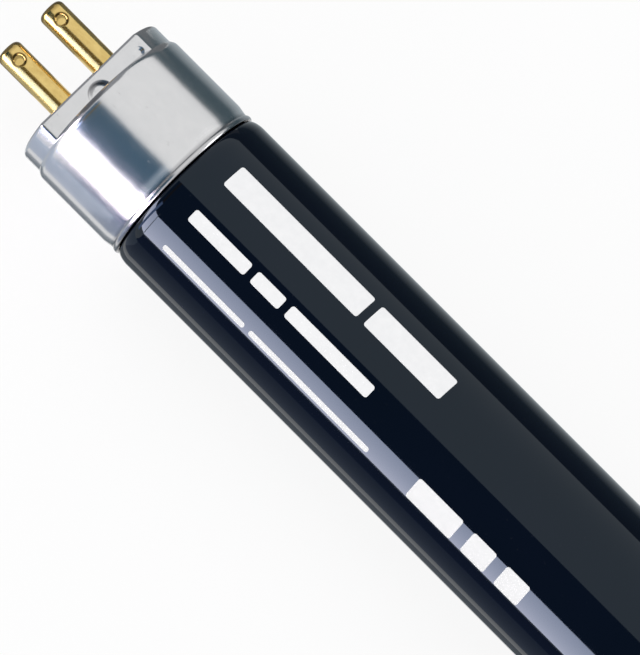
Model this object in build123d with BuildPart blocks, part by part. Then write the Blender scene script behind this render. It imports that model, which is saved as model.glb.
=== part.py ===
from build123d import *
from math import sqrt
import os

# Black light fluorescent tube of the slim two-pin kind, lying along X.
# All sizes are millimetres. The origin is the middle of the tube, on its axis.

# Whole lamp
face_to_face = 288.0
tube_diameter = 15.6

# Drawn aluminium cap on each end
cap_step = 0.1
cap_wall = 0.3
skirt_length = 9.4
shoulder_ease = 0.7
rim_bead_width = 0.45
rim_groove_depth = 0.14
rim_taper_length = 1.2

# Raised boss on the cap, a disc with two flats
boss_step = 0.28
boss_across_flats = 10.4
boss_height = 1.72
boss_edge_chamfer = 0.3
boss_corner_radius = 0.45
cavity_corner_radius = 0.2

# Half-moon stakes that lock the insulator into the boss
stake_radius = 1.15
stake_depth = 0.25

# Moulded insulator inside the boss
insulator_thickness = 1.5
insulator_clearance = 0.05
window_margin = 1.0

# Hollow contact pins
pin_spacing = 4.75
pin_diameter = 2.35
pin_length = 7.0
pin_tip_chamfer = 0.4
pin_tip_wall = 0.6
pin_shank_diameter = 2.0
pin_bore_diameter = 1.2
pin_flange_diameter = 3.4
pin_flange_thickness = 0.4

# Crimps near the tip of each pin
crimp_diameter = 1.16
crimp_depth = 0.33
crimp_from_tip = 1.5
crimp_length = 2.4
crimp_clearance = 0.02

# Lead wires
wire_diameter = 0.5
wire_embedment = 2.0

# Basing cement
cement_thickness = 0.35
cement_length = 4.2
cement_setback = 0.8

# Ends of the glass bulb
rim_gap = 0.1
glass_shoulder_ease = 0.7
neck_length = 6.2
neck_end_chamfer = 0.8
stem_margin = 0.4
stem_flare = 1.6
stem_depth = 8.0
exhaust_diameter = 2.4
exhaust_height = 5.0
exhaust_tip_height = 1.4
exhaust_tip_diameter = 0.8

# Radii worked out from the driving sizes
tube_r = tube_diameter / 2
cap_r = tube_r - cap_step
cap_bore_r = cap_r - cap_wall
neck_r = cap_bore_r - cement_thickness
boss_r = cap_r - boss_step
pin_r = pin_diameter / 2
pin_shank_r = pin_shank_diameter / 2
pin_bore_r = pin_bore_diameter / 2
wire_r = wire_diameter / 2
exhaust_r = exhaust_diameter / 2
stem_bottom_r = pin_spacing / 2 + wire_r + stem_margin
stem_mouth_r = stem_bottom_r + stem_flare
window_width = pin_diameter + 2 * window_margin

# Depths below the end face of the cap
rim_depth = boss_height + skirt_length
insulator_depth = cap_wall + insulator_thickness
pin_inner_depth = insulator_depth + pin_flange_thickness
glass_shoulder_depth = rim_depth + rim_gap
neck_end_depth = glass_shoulder_depth - neck_length
stem_bottom_depth = neck_end_depth + stem_depth
wire_inner_depth = stem_bottom_depth + wire_embedment
cement_outer_depth = rim_depth - cement_setback

# A stake is a spherical dimple, so its sphere follows from its width and depth
stake_sphere_r = (stake_radius**2 + stake_depth**2) / (2 * stake_depth)


def end_plane(outward):
    """The end face of a cap: local Z points out of the lamp, local X from pin to pin."""
    return Plane(origin=(outward * face_to_face / 2, 0, 0), x_dir=(0, 1, 0), z_dir=(outward, 0, 0))


def profile_plane(end, across=0.0, up=0.0):
    """A half section through an end: local X is a radius, local Y points out of the lamp."""
    origin = end.from_local_coords(Vector(across, up, 0))
    return Plane(origin=origin, x_dir=end.x_dir, z_dir=end.x_dir.cross(end.z_dir))


def eased_corner(radius, height, ease):
    """Three points that round an outer corner of a half section in two even steps."""
    step = ease * (1 - sqrt(0.5))
    return [(radius, height - ease), (radius - step, height - step), (radius - ease, height)]


def corner_of(sketch, point):
    """The corner of a half section that lies nearest to a point of that section."""
    return sketch.vertices().sort_by_distance(point)[0]


def sketch_boss(plane, inset, corner_radius):
    """The boss outline pulled in by an inset: a disc with two flats and eased corners."""
    with BuildSketch(plane) as outline:
        Circle(boss_r - inset)
        Rectangle(2 * boss_r, boss_across_flats - 2 * inset, mode=Mode.INTERSECT)
        fillet(outline.vertices(), corner_radius)
    return outline.sketch


def cut_stakes(end, extra):
    """Cuts the two half-moon stakes at the foot of the flats, grown by an extra thickness."""
    reach = boss_across_flats / 2 + stake_sphere_r - stake_depth
    radius = stake_sphere_r + extra
    for side in (-1, 1):
        section = profile_plane(end, up=side * reach)
        with BuildSketch(section) as moon:
            with BuildLine():
                Line((0, -boss_height), (radius, -boss_height))
                CenterArc((0, -boss_height), radius, 0, 90)
                Line((0, radius - boss_height), (0, -boss_height))
            make_face()
        revolve(moon.sketch, axis=Axis(section.origin, end.z_dir), mode=Mode.SUBTRACT)


def glass_end(section):
    """Half section of one end of the bulb, from mid-length to the stem and its exhaust tip."""
    with BuildSketch(section) as half:
        with BuildLine():
            Polyline(
                (0, -face_to_face / 2),
                (tube_r, -face_to_face / 2),
                *eased_corner(tube_r, -glass_shoulder_depth, glass_shoulder_ease),
                (neck_r, -glass_shoulder_depth),
                (neck_r, -neck_end_depth),
                (stem_mouth_r, -neck_end_depth),
                (stem_bottom_r, -stem_bottom_depth),
                (exhaust_r, -stem_bottom_depth),
                (exhaust_r, exhaust_height - exhaust_tip_height - stem_bottom_depth),
                (exhaust_tip_diameter / 2, exhaust_height - stem_bottom_depth),
                (0, exhaust_height - stem_bottom_depth),
                close=True,
            )
        make_face()
        chamfer(corner_of(half, (neck_r, -neck_end_depth)), neck_end_chamfer)
    return half.sketch


ends = {"left": end_plane(-1), "right": end_plane(1)}
rows = {"front": -pin_spacing / 2, "back": pin_spacing / 2}
os.makedirs("parts", exist_ok=True)

# Glass bulb: one sealed solid with a necked shoulder and a re-entrant stem at each end
with BuildPart() as glass_tube:
    for end in ends.values():
        revolve(glass_end(profile_plane(end)), axis=Axis.X)
        for place in rows.values():
            with BuildSketch(end.offset(-wire_inner_depth)):
                with Locations((place, 0)):
                    Circle(wire_r)
            extrude(amount=wire_embedment, mode=Mode.SUBTRACT)
glass_tube.part.label = "glass_tube"
export_step(glass_tube.part, "parts/glass_tube.step")

for name, end in ends.items():
    half = profile_plane(end)

    # Inside of the cap: the skirt bore, and the boss room with the stakes standing into it
    with BuildPart() as cap_room:
        boss_room = sketch_boss(end.offset(-boss_height - cap_wall), cap_wall, cavity_corner_radius)
        extrude(boss_room, amount=boss_height)
        cut_stakes(end, cap_wall)
        with BuildSketch(half):
            with BuildLine():
                Polyline(
                    (0, -rim_depth),
                    (cap_bore_r, -rim_depth),
                    (cap_bore_r, -boss_height - cap_wall),
                    (0, -boss_height - cap_wall),
                    close=True,
                )
            make_face()
        revolve(axis=Axis.X)

    # Drawn cap: skirt with a beaded rim, rounded shoulder, raised boss and its window
    with BuildPart() as cap_shell:
        with BuildSketch(half):
            with BuildLine():
                Polyline(
                    (cap_r - rim_groove_depth, -rim_depth),
                    (0, -rim_depth),
                    (0, -boss_height),
                    *reversed(eased_corner(cap_r, -boss_height, shoulder_ease)),
                    (cap_r, rim_bead_width + rim_taper_length - rim_depth),
                    (cap_r - rim_groove_depth, rim_bead_width - rim_depth),
                    (cap_r, rim_bead_width / 2 - rim_depth),
                    close=True,
                )
            make_face()
        revolve(axis=Axis.X)
        boss = sketch_boss(end.offset(-boss_height - cap_wall), 0, boss_corner_radius)
        extrude(boss, amount=boss_height + cap_wall)
        outward = Axis(end.origin, end.z_dir)
        chamfer(cap_shell.edges().group_by(outward)[-1], boss_edge_chamfer)
        cut_stakes(end, 0)
        add(cap_room.part, mode=Mode.SUBTRACT)
        with BuildSketch(end):
            SlotCenterToCenter(pin_spacing, window_width)
        extrude(amount=-cap_wall, mode=Mode.SUBTRACT)
    cap_shell.part.label = name + "_cap_shell"
    export_step(cap_shell.part, f"parts/{name}_cap_shell.step")

    # Moulded insulator: a plate in the boss, with a pad that fills the window around the pins
    with BuildPart() as insulator:
        inset = cap_wall + insulator_clearance
        plate = sketch_boss(end.offset(-insulator_depth), inset, cavity_corner_radius)
        extrude(plate, amount=insulator_thickness)
        cut_stakes(end, inset)
        with BuildSketch(end.offset(-cap_wall)):
            SlotCenterToCenter(pin_spacing, window_width - 2 * insulator_clearance)
        extrude(amount=cap_wall)
        with BuildSketch(end):
            with Locations(*[(place, 0) for place in rows.values()]):
                Circle(pin_shank_r)
        extrude(amount=-insulator_depth, mode=Mode.SUBTRACT)
    insulator.part.label = name + "_insulator"
    export_step(insulator.part, f"parts/{name}_insulator.step")

    # Basing cement: the ring that bonds the cap to the neck of the bulb
    with BuildPart() as cement_ring:
        with BuildSketch(end.offset(-cement_outer_depth)):
            Circle(cap_bore_r)
            Circle(neck_r, mode=Mode.SUBTRACT)
        extrude(amount=cement_length)
    cement_ring.part.label = name + "_cement_ring"
    export_step(cement_ring.part, f"parts/{name}_cement_ring.step")

    for row, place in rows.items():
        along = profile_plane(end, across=place)
        pin_axis = Axis(along.origin, end.z_dir)

        # Contact pin: a tube that stands on the insulator, with a shank through it to a riveted flange
        with BuildPart() as pin:
            with BuildSketch(along) as pin_half:
                with BuildLine():
                    Polyline(
                        (pin_bore_r, -pin_inner_depth),
                        (pin_flange_diameter / 2, -pin_inner_depth),
                        (pin_flange_diameter / 2, -insulator_depth),
                        (pin_shank_r, -insulator_depth),
                        (pin_shank_r, 0),
                        (pin_r, 0),
                        (pin_r, pin_length),
                        (0, pin_length),
                        (0, pin_length - pin_tip_wall),
                        (wire_r + crimp_clearance, pin_length - pin_tip_wall),
                        (wire_r + crimp_clearance, pin_length - crimp_length),
                        (pin_bore_r, pin_length - crimp_length),
                        close=True,
                    )
                make_face()
                chamfer(corner_of(pin_half, (pin_r, pin_length)), pin_tip_chamfer)
            revolve(axis=pin_axis)
            for side in (-1, 1):
                crimp_place = end.from_local_coords(Vector(place, side * pin_r, pin_length - crimp_from_tip))
                with BuildSketch(Plane(origin=crimp_place, x_dir=end.x_dir, z_dir=end.y_dir * side)):
                    Circle(crimp_diameter / 2)
                extrude(amount=-crimp_depth, mode=Mode.SUBTRACT)
        pin.part.label = f"{name}_{row}_pin"
        export_step(pin.part, f"parts/{name}_{row}_pin.step")

        # Lead wire: from the pressed stem of the bulb to the closed tip of its pin
        with BuildPart() as lead_wire:
            with BuildSketch(end.offset(-wire_inner_depth)):
                with Locations((place, 0)):
                    Circle(wire_r)
            extrude(amount=wire_inner_depth + pin_length - pin_tip_wall)
        lead_wire.part.label = f"{name}_{row}_lead_wire"
        export_step(lead_wire.part, f"parts/{name}_{row}_lead_wire.step")
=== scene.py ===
# %% [markdown]
# # A black light fluorescent tube
# This lesson dresses a slim two-pin lamp: a tube of opaque black glass, a drawn aluminium cap on each end
# and brass contact pins. The solid model is loaded first and stays fixed. Its facets could simply be
# shaded smooth, but glossy glass and metal show every facet in their reflections. So each visible surface
# is worked out again with numpy, much finer than the solids and on the same sizes.

# %% Load the solid model
import bmesh
import bpy
import numpy as np
from mathutils import Matrix, Vector


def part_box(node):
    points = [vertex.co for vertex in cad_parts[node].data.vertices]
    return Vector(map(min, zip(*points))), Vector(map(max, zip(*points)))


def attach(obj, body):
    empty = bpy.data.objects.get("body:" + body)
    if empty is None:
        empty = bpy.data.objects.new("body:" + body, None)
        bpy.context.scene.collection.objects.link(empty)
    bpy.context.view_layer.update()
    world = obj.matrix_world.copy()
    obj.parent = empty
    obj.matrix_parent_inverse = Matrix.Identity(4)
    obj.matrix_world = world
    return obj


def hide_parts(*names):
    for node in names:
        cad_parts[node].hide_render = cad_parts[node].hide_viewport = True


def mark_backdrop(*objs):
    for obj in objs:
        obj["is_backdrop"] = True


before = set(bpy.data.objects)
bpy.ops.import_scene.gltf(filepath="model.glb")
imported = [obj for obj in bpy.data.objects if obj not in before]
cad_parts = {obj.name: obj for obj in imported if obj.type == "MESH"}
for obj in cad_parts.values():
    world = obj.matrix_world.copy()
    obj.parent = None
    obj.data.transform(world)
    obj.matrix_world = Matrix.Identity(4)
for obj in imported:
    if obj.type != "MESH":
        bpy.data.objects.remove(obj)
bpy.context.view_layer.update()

# %% [markdown]
# ## Sizes
# All sizes could be typed in again, but then they might drift from the solids. So the large ones are read
# from the boxes of the solids, and the surfaces land exactly on them. Small ones, such as the roundings
# that a box can't show, are written in metres where they are first needed.

# %% Read the sizes of the lamp
MM = 0.001

tube_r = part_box("glass_tube")[1].y
cap_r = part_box("left_cap_shell")[1].y
face_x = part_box("right_cap_shell")[1].x
rim_depth = face_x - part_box("right_cap_shell")[0].x
neck_end_depth = face_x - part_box("glass_tube")[1].x
pin_low, pin_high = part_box("right_back_pin")
pin_y = (pin_low.y + pin_high.y) / 2
pin_flange_r = (pin_high.y - pin_low.y) / 2
pin_length = pin_high.x - face_x
pin_inner_depth = face_x - pin_low.x
print(f"tube radius {tube_r / MM:.2f} mm, cap radius {cap_r / MM:.2f} mm,",
      f"pins {2 * pin_y / MM:.2f} mm apart")

# %% [markdown]
# ## Camera
# The photograph looks almost straight down on one end of the lamp, turned so that the tube runs down to
# the right. A camera could be aimed by hand, but three angles say it better: how far the view leans
# towards the middle of the tube, how far it turns about the tube, and the slope of the tube in the
# picture. A long lens far away keeps the sides of the tube parallel, as they are in the photograph.

# %% Directions of the view
LEAN = np.radians(6.9)
TURN = np.radians(6.3)
SLOPE = np.radians(45.07)

to_camera = Vector((np.sin(LEAN), -np.cos(LEAN) * np.sin(TURN), np.cos(LEAN) * np.cos(TURN)))
along = (Vector((1, 0, 0)) - to_camera * to_camera.x).normalized()
across = to_camera.cross(along)
screen_right = along * np.cos(SLOPE) + across * np.sin(SLOPE)
screen_up = across * np.cos(SLOPE) - along * np.sin(SLOPE)
print("the camera looks from", tuple(round(part, 3) for part in to_camera))

# %% Place the camera
VIEW_HEIGHT = 52.82 * MM
VIEW_FROM_FACE = 27.04 * MM
VIEW_ACROSS = -0.30 * MM
LENS = 800.0

camera_data = bpy.data.cameras.new("camera")
camera_data.lens = LENS
camera_data.clip_start = 0.01
camera_data.clip_end = 50
camera = bpy.data.objects.new("camera", camera_data)
bpy.context.scene.collection.objects.link(camera)
target = Vector((VIEW_FROM_FACE - face_x, 0, 0)) + across * VIEW_ACROSS
distance = VIEW_HEIGHT * LENS / camera_data.sensor_width
turn = Matrix((screen_right, screen_up, to_camera)).transposed()
camera.matrix_world = Matrix.Translation(target + to_camera * distance) @ turn.to_4x4()
bpy.context.scene.camera = camera
print(f"camera {distance:.3f} m from the lamp")

# %% [markdown]
# ## From a grid to a mesh
# Every new piece is a grid of points: rows along a profile, columns around it. Blender's Spin could turn
# a profile too, but a grid of numbers can also be pressed, dented and closed into a shell before it
# becomes a mesh. Columns always close into a ring. The last row may be joined to the first, which closes
# a hollow shell. Rows that shrink to a point are merged into a pole. The signed volume says whether the
# faces point outwards.

# %% Faces of a grid
def grid_faces(rows, columns, close_rows):
    """Corner numbers of the quads between neighbouring rows and columns; columns close into a ring."""
    row = np.arange(rows if close_rows else rows - 1)[:, None]
    column = np.arange(columns)[None, :]
    next_row = (row + 1) % rows
    next_column = (column + 1) % columns
    corners = (row * columns + column, row * columns + next_column,
               next_row * columns + next_column, next_row * columns + column)
    return np.stack(np.broadcast_arrays(*corners), axis=-1).reshape(-1, 4)


def signed_volume(points, faces):
    """Volume of a closed mesh: the sum of the tetrahedra from the origin to each half of each quad, each a
    sixth of one corner times the cross product of the other two."""
    a, b, c, d = (points[faces[:, corner]] for corner in range(4))
    return (np.einsum("ij,ij->", a, np.cross(b, c)) + np.einsum("ij,ij->", a, np.cross(c, d))) / 6


print("3 rows of 8 columns make", len(grid_faces(3, 8, close_rows=False)), "faces, or",
      len(grid_faces(3, 8, close_rows=True)), "as a closed shell")

# %% Mesh from grids
POLE_DISTANCE = 1e-8


def merge_poles(mesh):
    """Merges the points of rows that shrink to a point, and drops the faces that vanish there."""
    work = bmesh.new()
    work.from_mesh(mesh)
    bmesh.ops.remove_doubles(work, verts=work.verts, dist=POLE_DISTANCE)
    work.to_mesh(mesh)
    work.free()


def make_piece(name, grids, close_rows=False):
    """One object from closed grids, each rows by columns by three numbers, with faces turned outwards."""
    points = []
    faces = []
    start = 0
    for grid in grids:
        rows, columns = grid.shape[:2]
        cloud = grid.reshape(-1, 3)
        quads = grid_faces(rows, columns, close_rows)
        if signed_volume(cloud - cloud.mean(axis=0), quads) < 0:
            quads = quads[:, ::-1]
        points.append(cloud)
        faces.append(quads + start)
        start += len(cloud)
    mesh = bpy.data.meshes.new(name)
    mesh.from_pydata(np.concatenate(points), [], np.concatenate(faces).tolist())
    piece = bpy.data.objects.new(name, mesh)
    bpy.context.scene.collection.objects.link(piece)
    merge_poles(mesh)
    mesh.polygons.foreach_set("use_smooth", np.ones(len(mesh.polygons), dtype=bool))
    mesh.update()
    print(f"{name}: {len(mesh.vertices)} points, {len(mesh.polygons)} faces")
    return piece


# %% [markdown]
# ### Fitting a piece
# A finished piece needs a body to move with, and the solids it stands for are hidden. Each could be set by
# hand where the piece is made, but one helper forgets none of them. The lamp has no joints, so
# everything rides on one body.

# %% Fit a piece onto the lamp
def fit(piece, nodes):
    """A finished piece rides on the lamp's one body, and the solids it stands for are hidden."""
    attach(piece, "root")
    if nodes:
        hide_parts(*nodes)
    return piece


print(len(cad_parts), "solids to dress")

# %% [markdown]
# ### Profiles
# The glass and the pins are round, so each needs only half a section: a list of places, each a distance
# along the axis and a radius. A curve object could hold it, but rows of numbers can be spaced finely
# where a curve or a dent will come, and widely elsewhere.

# %% Profile helpers
def arc(centre, radius, start_deg, end_deg, count):
    """Points on a circle in the profile plane, between two angles, as columns of along and radius."""
    angle = np.radians(np.linspace(start_deg, end_deg, count))
    return np.stack((centre[0] + radius * np.cos(angle), centre[1] + radius * np.sin(angle)), axis=-1)


def path(*stops):
    """Straight stretches from stop to stop. A stop is an along, a radius and the number of even rows that
    lead from it to the next one; the last stop is a place alone and adds its own row."""
    pairs = zip(stops, stops[1:])
    rows = [np.linspace(here[:2], there[:2], here[2], endpoint=False) for here, there in pairs]
    return np.concatenate(rows + [[stops[-1]]])


def revolve(profile, columns):
    """A profile turned about X: at each place, the radius times the cosine and the sine of an angle."""
    angle = np.linspace(0, 2 * np.pi, columns, endpoint=False)
    x = np.broadcast_to(profile[:, :1], (len(profile), columns))
    return np.stack((x, profile[:, 1:] * np.cos(angle), profile[:, 1:] * np.sin(angle)), axis=-1)


print("a path in two stretches has", len(path((0.0, 1.0, 4), (1.0, 1.0, 2), (1.0, 0.0))), "rows")

# %% [markdown]
# ## Black glass tube
# The bulb is drawn glass tubing, made dark in the melt so that only near ultraviolet comes out. At each
# end the glass is necked, so that the cap can sit flush, and closed by a stem that turns back into the
# tube. A cylinder with a bevel could give the part that shows, but one profile of the whole bulb, turned
# about the axis, stays closed. It also gives the shoulder at the cap its long, shallow curve, in which
# the light stripe bends.

# %% Shoulder of the glass
SHOULDER_GAP = 0.1 * MM
SHOULDER_LENGTH = 1.3 * MM
SHOULDER_DROP = 0.42 * MM
SHOULDER_START_DEG = 80
SHOULDER_ROWS = 24

shoulder_x = face_x - rim_depth - SHOULDER_GAP


def glass_shoulder():
    """Most of a quarter ellipse: the cosine of an angle times the length gives the along, its sine times the
    drop the radius. It is moved to start on the wall and to end at the gap before the cap."""
    circle = arc((0.0, 0.0), 1.0, SHOULDER_START_DEG, 0, SHOULDER_ROWS)
    ellipse = circle * (SHOULDER_LENGTH, SHOULDER_DROP)
    return ellipse + (shoulder_x - ellipse[-1, 0], tube_r - ellipse[0, 1])


shoulder = glass_shoulder()
shoulder_size = np.ptp(shoulder, axis=0) / MM
print(f"glass shoulder {shoulder_size[0]:.2f} mm long and {shoulder_size[1]:.2f} mm deep")

# %% Tube surface
CREASE = 0.02 * MM
NECK_RADIUS = 7.05 * MM
NECK_CHAMFER = 0.8 * MM
STEM_MOUTH_RADIUS = 4.625 * MM
STEM_BOTTOM_RADIUS = 3.025 * MM
STEM_DEPTH = 8.0 * MM
EXHAUST_RADIUS = 1.2 * MM
EXHAUST_HEIGHT = 5.0 * MM
EXHAUST_TIP_HEIGHT = 1.4 * MM
EXHAUST_TIP_RADIUS = 0.4 * MM
TUBE_COLUMNS = 288
WALL_ROWS = 60


def tube_half_profile():
    """Half of the bulb: along the wall to a faint crease, down the shoulder, along the neck, then down the
    stem to its tip."""
    end_x = face_x - neck_end_depth
    bottom_x = end_x - STEM_DEPTH
    tip_x = bottom_x + EXHAUST_HEIGHT
    crease = shoulder[0] - (CREASE, 0.0)
    wall = path((0.0, tube_r, WALL_ROWS), (*crease, 1), shoulder[0])
    stem = path(
        (*shoulder[-1], 2),
        (shoulder_x, NECK_RADIUS, 6),
        (end_x - NECK_CHAMFER, NECK_RADIUS, 3),
        (end_x, NECK_RADIUS - NECK_CHAMFER, 3),
        (end_x, STEM_MOUTH_RADIUS, 4),
        (bottom_x, STEM_BOTTOM_RADIUS, 3),
        (bottom_x, EXHAUST_RADIUS, 3),
        (tip_x - EXHAUST_TIP_HEIGHT, EXHAUST_RADIUS, 3),
        (tip_x, EXHAUST_TIP_RADIUS, 2),
        (tip_x, 0.0),
    )
    return np.concatenate((wall, shoulder[1:], stem[1:]))


right_half = tube_half_profile()
left_half = right_half[:0:-1] * (-1, 1)
tube_profile = np.concatenate((left_half, right_half))
glass_tube = make_piece("black_glass_tube", [revolve(tube_profile, TUBE_COLUMNS)])
fit(glass_tube, ["glass_tube"])

# %% [markdown]
# ## Aluminium caps
# Each cap is drawn from thin sheet: a skirt with a beaded rim, a rounded shoulder, and a raised boss
# shaped like a disc with two flats. It could be a cylinder cut by Booleans and bevelled, but bevels fail
# where the flats meet the shoulder. Here one closed grid makes the whole shell. Its columns are
# directions around the axis. Its rows run up the outside, over the boss, through the window and back down
# the inside. The boss outline is a radius worked out for every direction, so the disc and its flats are
# one formula.

# %% Outlines of the boss and the window
BOSS_STEP = 0.28 * MM
BOSS_HALF_FLATS = 5.2 * MM
WINDOW_HALF_WIDTH = 2.175 * MM
CAP_COLUMNS = 640
LEAST_SINE = 1e-6

direction = np.linspace(0, 2 * np.pi, CAP_COLUMNS, endpoint=False)
boss_r = cap_r - BOSS_STEP


def boss_outline(inset, corner):
    """Radius of the boss outline in every direction, pulled in by an inset: the disc where the direction
    points at it, the flat's distance over the sine elsewhere, and a round corner where a line meets its
    small circle."""
    turn = np.arctan2(np.abs(np.sin(direction)), np.abs(np.cos(direction)))
    centre_up = BOSS_HALF_FLATS - corner
    centre_out = np.sqrt((boss_r - corner) ** 2 - centre_up ** 2)
    to_disc = np.arctan2(centre_up, centre_out)
    to_flat = np.arctan2(BOSS_HALF_FLATS - inset, centre_out)
    small = max(corner - inset, 0.0)
    ahead = centre_out * np.cos(turn) + centre_up * np.sin(turn)
    beside = np.maximum(small ** 2 - (boss_r - corner) ** 2 + ahead ** 2, 0.0)
    flat = (BOSS_HALF_FLATS - inset) / np.maximum(np.sin(turn), LEAST_SINE)
    rounded = np.where(turn > to_flat, flat, ahead + np.sqrt(beside))
    return np.where(turn < to_disc, boss_r - inset, rounded)


def window_outline():
    """Radius of the pin window in every direction: a slot, so the far edge of a circle about the nearer pin
    or the straight side between the pins."""
    across_pins = np.abs(np.cos(direction))
    up = np.abs(np.sin(direction))
    beside = np.maximum(WINDOW_HALF_WIDTH ** 2 - (pin_y * up) ** 2, 0.0)
    end_round = pin_y * across_pins + np.sqrt(beside)
    side = WINDOW_HALF_WIDTH / np.maximum(up, LEAST_SINE)
    return np.where(side * across_pins < pin_y, side, end_round)


print(f"boss {2 * boss_r / MM:.2f} mm across and {2 * BOSS_HALF_FLATS / MM:.2f} mm over its flats,",
      f"window {2 * window_outline().max() / MM:.2f} mm wide and {2 * WINDOW_HALF_WIDTH / MM:.2f} mm high")

# %% [markdown]
# ### Skirt and shoulder
# The skirt ends in a bead where the sheet is rolled, with a shallow groove behind it. The drawn shoulder
# above it is a quarter round. Three rings and a Bevel modifier could stand for them, but rows placed by
# cosines give the true half round of the bead and the soft taper out of the groove.

# %% Rows of a cap
def ring(radius, height):
    """One row of the shell: a radius and a height above the end face, each a number or one per direction."""
    radius = np.broadcast_to(radius, CAP_COLUMNS)
    height = np.broadcast_to(height, CAP_COLUMNS)
    return np.stack((height, radius * np.cos(direction), radius * np.sin(direction)))


def rows_between(first, last, count, ends=(True, True)):
    """Rows evenly spaced between two rows, with or without the rows at the ends."""
    share = np.linspace(0, 1, count)[0 if ends[0] else 1:None if ends[1] else -1]
    return [first + (last - first) * step for step in share]


print("a row of a cap has", ring(cap_r, 0.0).shape[1], "points")

# %% Skirt
RIM_BEAD_WIDTH = 0.45 * MM
RIM_GROOVE_DEPTH = 0.14 * MM
RIM_TAPER_LENGTH = 1.2 * MM
CAP_SHOULDER_RADIUS = 0.9 * MM
BOSS_HEIGHT = 1.72 * MM
BEAD_ROWS = 16
TAPER_ROWS = 14
SKIRT_ROWS = 14


def skirt_rows():
    """The beaded rim as a half round, a taper eased by a cosine, and the straight wall to the shoulder."""
    bead_middle = RIM_BEAD_WIDTH / 2 - rim_depth
    rows = []
    for angle in np.linspace(-0.5 * np.pi, 0.5 * np.pi, BEAD_ROWS):
        rows.append(ring(cap_r - RIM_GROOVE_DEPTH * (1 - np.cos(angle)),
                         bead_middle + RIM_BEAD_WIDTH / 2 * np.sin(angle)))
    for share in np.linspace(0, 1, TAPER_ROWS)[1:]:
        rows.append(ring(cap_r - RIM_GROOVE_DEPTH * (1 + np.cos(np.pi * share)) / 2,
                         RIM_BEAD_WIDTH + RIM_TAPER_LENGTH * share - rim_depth))
    shoulder_start = ring(cap_r, -BOSS_HEIGHT - CAP_SHOULDER_RADIUS)
    return rows + rows_between(rows[-1], shoulder_start, SKIRT_ROWS, ends=(False, False))


print("rows on the skirt:", len(skirt_rows()))

# %% Shoulder of a cap
CAP_SHOULDER_ROWS = 20

shoulder_inner = cap_r - CAP_SHOULDER_RADIUS


def shoulder_angle(radius):
    """Angle on the shoulder's quarter round that has a radius, 90 degrees on the skirt and 0 on top: the arc
    sine of the radius past the round's middle, over the round's own radius."""
    return np.arcsin(np.clip((radius - shoulder_inner) / CAP_SHOULDER_RADIUS, 0, 1))


def shoulder_height(angle):
    """Height of the shoulder at an angle: it drops below its top by the round's radius less its cosine."""
    return -BOSS_HEIGHT - CAP_SHOULDER_RADIUS * (1 - np.cos(angle))


def shoulder_rows(foot_radius):
    """A quarter round from the skirt up to the flat shoulder, stopped where it meets the foot of the boss;
    its radius follows the sine of the angle."""
    stop = shoulder_angle(foot_radius)
    rows = []
    for share in np.linspace(0, 1, CAP_SHOULDER_ROWS):
        angle = np.pi / 2 + (stop - np.pi / 2) * share
        rows.append(ring(shoulder_inner + CAP_SHOULDER_RADIUS * np.sin(angle), shoulder_height(angle)))
    return rows


print(f"the shoulder is flat within {shoulder_inner / MM:.2f} mm of the axis")

# %% [markdown]
# ### Boss with its stakes
# Half-moon stakes are punched into the foot of the flats and lock the insulator inside. One flat of the
# left cap also has a small dent from handling. Sculpting could make them, or a Boolean with a sphere, but
# the wall is a grid already. So each point simply sinks by an amount that depends on its distance from
# the punch.

# %% Stakes and dent
STAKE_RADIUS = 1.15 * MM
STAKE_DEPTH = 0.16 * MM
STAKE_FLOOR_SHARE = 0.5
DENT_RADIUS = 0.5 * MM
DENT_DEPTH = 0.11 * MM
DENT_FLOOR_SHARE = 0.3
DENT_PLACE = (4.5 * MM, 0.32 * MM)
ON_FLAT_LIMIT = 1e-9


def punched(distance, radius, floor_share):
    """How far a punch sinks a point, from 1 on its flat floor to 0 at its rim, eased between them by three
    times the square less twice the cube."""
    rise = np.clip((distance / radius - floor_share) / (1 - floor_share), 0, 1)
    return 1 - rise * rise * (3 - 2 * rise)


def press_flats(rows, dent):
    """Sinks the wall of both flats into half-moon stakes about the middle of their foot. The upper flat may
    have one small dent as well, given by its place across the flat and its height above the foot."""
    wall = np.stack(rows)
    height = wall[:, 0] + BOSS_HEIGHT
    on_flat = np.abs(np.abs(wall[:, 2]) - BOSS_HALF_FLATS) < ON_FLAT_LIMIT
    sink = STAKE_DEPTH * punched(np.hypot(wall[:, 1], height), STAKE_RADIUS, STAKE_FLOOR_SHARE)
    if dent:
        from_dent = np.hypot(wall[:, 1] - dent[0], height - dent[1])
        blow = DENT_DEPTH * punched(from_dent, DENT_RADIUS, DENT_FLOOR_SHARE)
        sink = sink + np.where(wall[:, 2] > 0, blow, 0)
    wall[:, 2] -= np.where(on_flat, np.sign(wall[:, 2]) * sink, 0)
    return list(wall)


half_way = (1 + STAKE_FLOOR_SHARE) / 2 * STAKE_RADIUS
half_sunk = STAKE_DEPTH * punched(half_way, STAKE_RADIUS, STAKE_FLOOR_SHARE)
print(f"half way up its wall a stake is {half_sunk / MM:.2f} mm deep")

# %% Rows of the boss
BOSS_EDGE_RADIUS = 0.4 * MM
BOSS_CORNER_RADIUS = 0.45 * MM
WINDOW_EASE = 0.06 * MM
FIRST_STEP = 0.012
BOSS_WALL_ROWS = 34
BOSS_EDGE_ROWS = 14
END_FACE_ROWS = 8
WINDOW_EASE_ROWS = 5


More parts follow.
